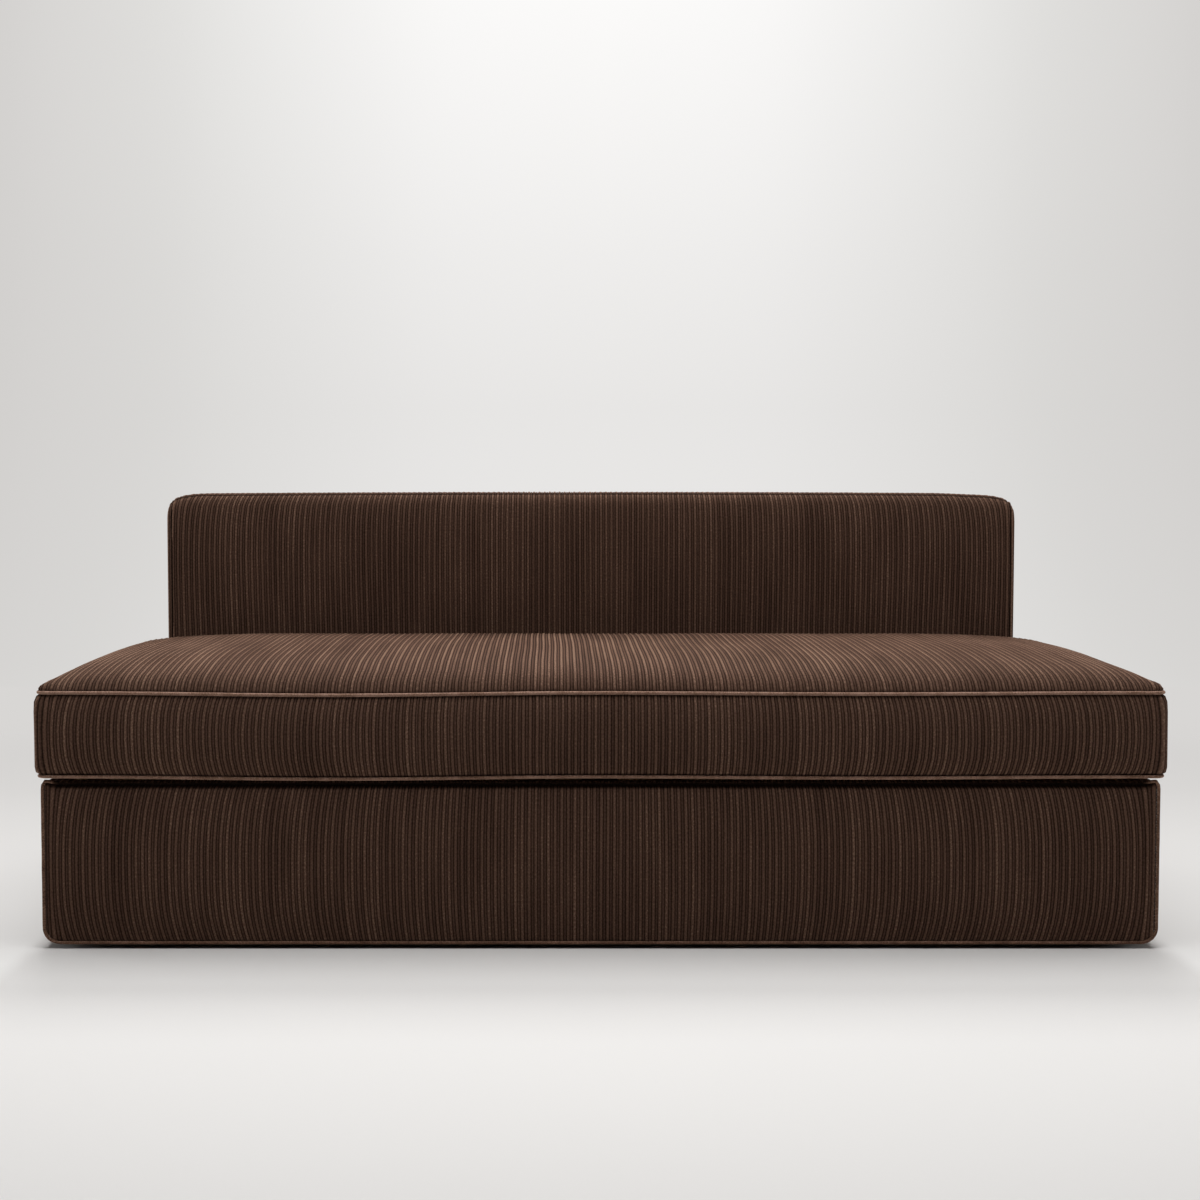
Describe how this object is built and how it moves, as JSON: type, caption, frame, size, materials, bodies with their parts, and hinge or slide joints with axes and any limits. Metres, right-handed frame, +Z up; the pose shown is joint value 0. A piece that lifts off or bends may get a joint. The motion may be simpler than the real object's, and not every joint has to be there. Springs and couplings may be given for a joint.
{
  "type": "sofa bed",
  "caption": "Armless sofa bed: corduroy box base, one bench seat cushion and a low back; the seat rolls out to the front and the back turns down flat behind it.",
  "frame": {"origin": "on the floor, under the middle of the whole sofa with the seat pushed in", "axes": "+X along the sofa to the sitter's left, which is the viewer's right; +Y to the rear; +Z up"},
  "size_m": [2.104, 0.9945, 0.8618],
  "materials": {
    "corduroy": "matte",
    "corduroy_piping": "matte",
    "birch_plywood": "matte",
    "beech": "satin",
    "bent_beech_slats": "satin",
    "nylon_glides": "satin",
    "felt_strip": "matte",
    "zinc_plated_steel": "satin",
    "black_coated_steel": "satin",
    "acetal_bushes": "satin",
    "rubber_rollers": "matte",
    "nylon_zip": "matte"
  },
  "bodies": {
    "base": {"rear_cover": "corduroy", "rear_board": "birch_plywood", "rear_welt": "corduroy_piping", "side_board_left": "birch_plywood", "side_board_right": "birch_plywood", "side_cover_left": "corduroy", "side_cover_right": "corduroy", "side_welt_left": "corduroy_piping", "side_welt_right": "corduroy_piping", "ledger_left": "beech", "ledger_right": "beech", "glide_front_left": "nylon_glides", "glide_front_right": "nylon_glides", "glide_rear_left": "nylon_glides", "glide_rear_right": "nylon_glides", "runner_fixed_left": "zinc_plated_steel", "runner_fixed_right": "zinc_plated_steel", "front_stretcher": "beech", "rear_stretcher": "beech", "rest_rail": "beech", "rest_strip": "felt_strip"},
    "seat": {"front_cover": "corduroy", "front_board": "birch_plywood", "front_welt": "corduroy_piping", "side_rail_left": "beech", "side_rail_right": "beech", "plate_bolts_left": "zinc_plated_steel", "plate_bolts_right": "zinc_plated_steel", "pivot_plate_left": "black_coated_steel", "pivot_plate_right": "black_coated_steel", "pivot_pin_left": "zinc_plated_steel", "pivot_pin_right": "zinc_plated_steel", "runner_moving_left": "zinc_plated_steel", "runner_moving_right": "zinc_plated_steel", "roller_bracket_left": "black_coated_steel", "roller_bracket_right": "black_coated_steel", "roller_axle_left": "zinc_plated_steel", "roller_axle_right": "zinc_plated_steel", "front_rail": "beech", "middle_rail": "beech", "rear_rail": "beech", "tail_rail": "beech", "seat_slats": "bent_beech_slats"},
    "runner_left": {"runner_middle_left": "zinc_plated_steel"},
    "runner_right": {"runner_middle_right": "zinc_plated_steel"},
    "roller_left": {"roller_left": "rubber_rollers"},
    "roller_right": {"roller_right": "rubber_rollers"},
    "backrest": {"back_cushion": "corduroy", "back_foot_rail": "beech", "back_top_rail": "beech", "back_stile_centre": "beech", "back_stile_left": "beech", "back_stile_right": "beech", "pivot_bush_left": "acetal_bushes", "pivot_bush_right": "acetal_bushes"},
    "cushion": {"seat_cushion": "corduroy", "cushion_zip": "nylon_zip", "cushion_welt_low": "corduroy_piping", "cushion_welt_high": "corduroy_piping"}
  },
  "joints": [
    {"name": "seat_slide", "type": "slide", "parent": "base", "child": "seat", "axis": [0, -1, 0], "range_m": [0, 0.348]},
    {"name": "runner_slide_left", "type": "slide", "parent": "base", "child": "runner_left", "axis": [0, -1, 0], "range_m": [0, 0.174]},
    {"name": "runner_slide_right", "type": "slide", "parent": "base", "child": "runner_right", "axis": [0, -1, 0], "range_m": [0, 0.174]},
    {"name": "roller_spin_left", "type": "hinge", "parent": "seat", "child": "roller_left", "pos_m": [-0.85, -0.41412, 0.025], "axis": [1, 0, 0], "range_deg": [0, 797.57]},
    {"name": "roller_spin_right", "type": "hinge", "parent": "seat", "child": "roller_right", "pos_m": [0.85, -0.41412, 0.025], "axis": [1, 0, 0], "range_deg": [0, 797.57]},
    {"name": "back_fold", "type": "hinge", "parent": "seat", "child": "backrest", "pos_m": [0, 0.39888, 0.414], "axis": [-1, 0, 0], "range_deg": [0, 90]},
    {"name": "cushion_lift", "type": "slide", "parent": "seat", "child": "cushion", "axis": [0, 0, 1], "range_m": [0, 0.3]}
  ],
  "couplings": [
    {"joint": "runner_slide_left", "follows": "seat_slide", "ratio": 0.5},
    {"joint": "runner_slide_right", "follows": "seat_slide", "ratio": 0.5},
    {"joint": "roller_spin_left", "follows": "seat_slide", "rad_per_m": 40},
    {"joint": "roller_spin_right", "follows": "seat_slide", "rad_per_m": 40}
  ]
}
